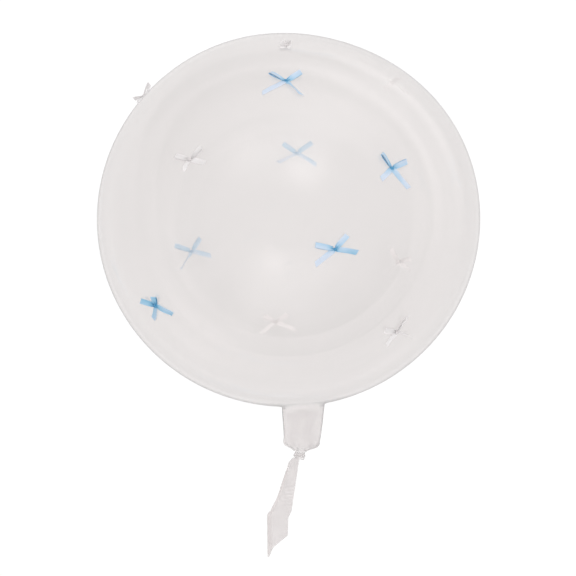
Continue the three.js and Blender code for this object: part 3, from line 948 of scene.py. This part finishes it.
def tail_strip(angle, length, roll, lustre, phase, bend):
    """A tail: straight out with a sideways bend by the square of the share, a low wave and a slanted end."""
    along, sideways, out = arm_axes(angle)
    share = np.linspace(0.03, 1, STRIP_ROWS)
    turn = math.radians(roll) * smooth(share, 0, 0.35) + 0.12 * np.sin(5 * share + phase)
    side = np.cos(turn)[:, None] * sideways + np.sin(turn)[:, None] * out
    lift = 1.5 * MM * (1 - share) ** 2 + 0.5 * MM + RIBBON_WIDTH / 2 * np.abs(np.sin(turn)) * share**0.5
    lift = lift + RIBBON_WAVE * np.sin(4.5 * share + phase) ** 2 * share
    run = length * MM * share
    path = run[:, None] * along + (bend * share**2)[:, None] * sideways + lift[:, None] * out
    # painted light that rises and falls a little along the tail
    return strip(path, side, run, phase, lustre + 0.08 * np.cos(6 * share + phase), slant=RIBBON_END_SLANT)


def knot_band(angle):
    """The turn of ribbon round the middle: rings of a rounded square about the loops' axis, with three
    folds between its ends. Its painted light is low, a painted shade, with painted highlights on the folds."""
    along, sideways, out = arm_axes(angle)
    place = np.linspace(-1, 1, 25)[:, None]
    turn = np.linspace(0, 2 * math.pi, 28, endpoint=False)[None, :]
    fold = np.cos(3 * math.pi * place + 0.6 * np.sin(turn))
    size = (1 - place**6) ** 0.5 * (1 + 0.09 * fold)
    square = (np.abs(np.cos(turn)) ** 3 + np.abs(np.sin(turn)) ** 3) ** (-1 / 3)
    across = BAND_WIDTH * MM * size * square * np.cos(turn)
    up = BAND_HEIGHT * MM * size * square * np.sin(turn)
    rings = (BAND_LENGTH * MM * place + 0 * turn)[..., None] * along + across[..., None] * sideways
    rings = rings + (up + BAND_LIFT * MM)[..., None] * out
    ring_map = np.stack([BAND_LENGTH * place + 0 * turn, turn / (2 * math.pi) + 0 * place], -1)
    ring_map = ring_map.reshape(-1, 2)
    # painted shade over the band, with painted highlights on its folds
    return rings, with_poles(ring_map), with_poles((0.1 + 0.16 * fold).ravel())


# %% [markdown]
# ## Where the bows sit
# Every bow is placed by two angles: around the bubble's upright axis from the side that faces the camera,
# and up towards the crown. Each arm then has its direction on the film, its length in millimetres, its roll
# and its level of painted light, read off the picture, and a loop may be raised off the film by a further
# angle.
# Three white bows are so faint in the picture that theirs are a guess.

# %% Tie the bows
BOWS = [  # name and two angles, then the loops and the tails
    ("blue_high", 3, 40,
     [(140, 22, 24, 0.78), (32, 21, 30, 0.78)], [(-154, 31, 4, 1.0), (-58, 27, -38, 0.75)]),
    ("blue_right", 31, 10,
     [(122, 20, 30, 0.72), (18, 22, 22, 0.78)], [(-140, 19, 5, 0.85), (-50, 30, 8, 0.82)]),
    ("blue_middle", 12, -11,
     [(164, 23, 20, 0.76), (46, 20, -18, 0.8)], [(-145, 27, 4, 0.95), (-10, 26, 6, 0.62)]),
    ("blue_left", -48, -23,
     [(158, 22, 37, 0.5), (66, 13, 25, 0.5)], [(-130, 24, 5, 0.62), (-30, 24, -8, 0.55)]),
    ("blue_under_high", 175, 24,
     [(150, 25, 5, 0.82), (42, 22, 8, 0.78)], [(-146, 30, 12, 0.7), (-26, 28, -30, 0.88)]),
    ("blue_under_left", -146, -6,
     [(134, 23, 8, 0.82), (20, 26, 5, 0.78)], [(-166, 28, 5, 0.7), (-50, 31, -50, 0.75)]),
    ("white_left", -28, 17,
     [(163, 19, 25, 0.5), (40, 19, -14, 0.62)], [(-130, 13, 10, 0.45), (-14, 21, 30, 0.05)]),
    ("white_low_right", 38, -38,
     [(168, 21, 10, 0.65), (80, 22, 28, 0.55)], [(-110, 20, 6, 0.6), (-15, 28, 66, 0.2)]),
    ("white_crown", 6, 58,
     [(120, 9, -28, 0.65), (55, 8, -28, 0.6)], [(-150, 8, 10, 0.4), (-30, 7, 15, 0.4)]),
    ("white_rim", -90, 45,
     [(-90, 10.5, 35, 0.8, 20), (95, 16, -35, 0.8, 9)], [(-25, 24, 12, 0.8), (20, 26, 25, 0.8)]),
    ("white_under_rim", 118, 45,
     [(165, 20, 20, 0.8), (58, 20, -25, 0.9)], [(-126, 25, 10, 0.8), (-12, 25, 15, 0.8)]),
    ("white_under_side", 142, -15,
     [(172, 20, 12, 0.85), (56, 23, 5, 1.3)], [(-149, 24, 30, 1.1), (-40, 20, 55, 0.75)]),
    ("white_under_low", -172, -33,
     [(147, 21, 4, 1.25), (40, 19, -4, 1.25)], [(-149, 29, 8, 0.9), (-33, 27, 14, 0.85)]),
]


def film_place(around, up):
    """The film's point in a direction given by two angles, and its right, crownward and outward axes there.
    The outward axis of an ellipsoid is the point over its squared half widths."""
    a, b = math.radians(around), math.radians(up)
    toward = np.array([math.sin(a) * math.cos(b), math.sin(b), math.cos(a) * math.cos(b)])
    halves = np.array([BUBBLE_HALF_WIDTH, BUBBLE_HALF_HEIGHT, BUBBLE_HALF_WIDTH])
    point = toward / np.linalg.norm(toward / halves)
    outward = point / halves**2
    outward /= np.linalg.norm(outward)
    right = np.cross((0, 1, 0), outward)
    right /= np.linalg.norm(right)
    return point + CENTRE, np.stack([right, np.cross(outward, right), outward])


def tie_bow(name, around, up, loops, tails):
    """One bow: its strips and band are worked out flat, then turned onto the film's own axes."""
    chance = np.random.default_rng(sum(map(ord, name)))
    parts = [loop_strip(chance.uniform(0, 6), *arm) for arm in loops]
    parts += [tail_strip(*arm, chance.uniform(0, 6), chance.uniform(-2.5, 2.5) * MM) for arm in tails]
    parts.append(knot_band((loops[0][0] + loops[1][0]) / 2 - 90))
    place, axes = film_place(around, up)
    slot = name.split("_")[0] + "_satin"
    bow = make_piece(
        "satin_bow_" + name,
        [closed_tube(rings @ axes + place) for rings, _, _ in parts],
        SATINS[slot],
        [ribbon_map for _, ribbon_map, _ in parts],
        lustre=[lustre for _, _, lustre in parts],
    )
    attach(bow, "root")
    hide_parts("bow_" + name)


for bow in BOWS:
    tie_bow(*bow)
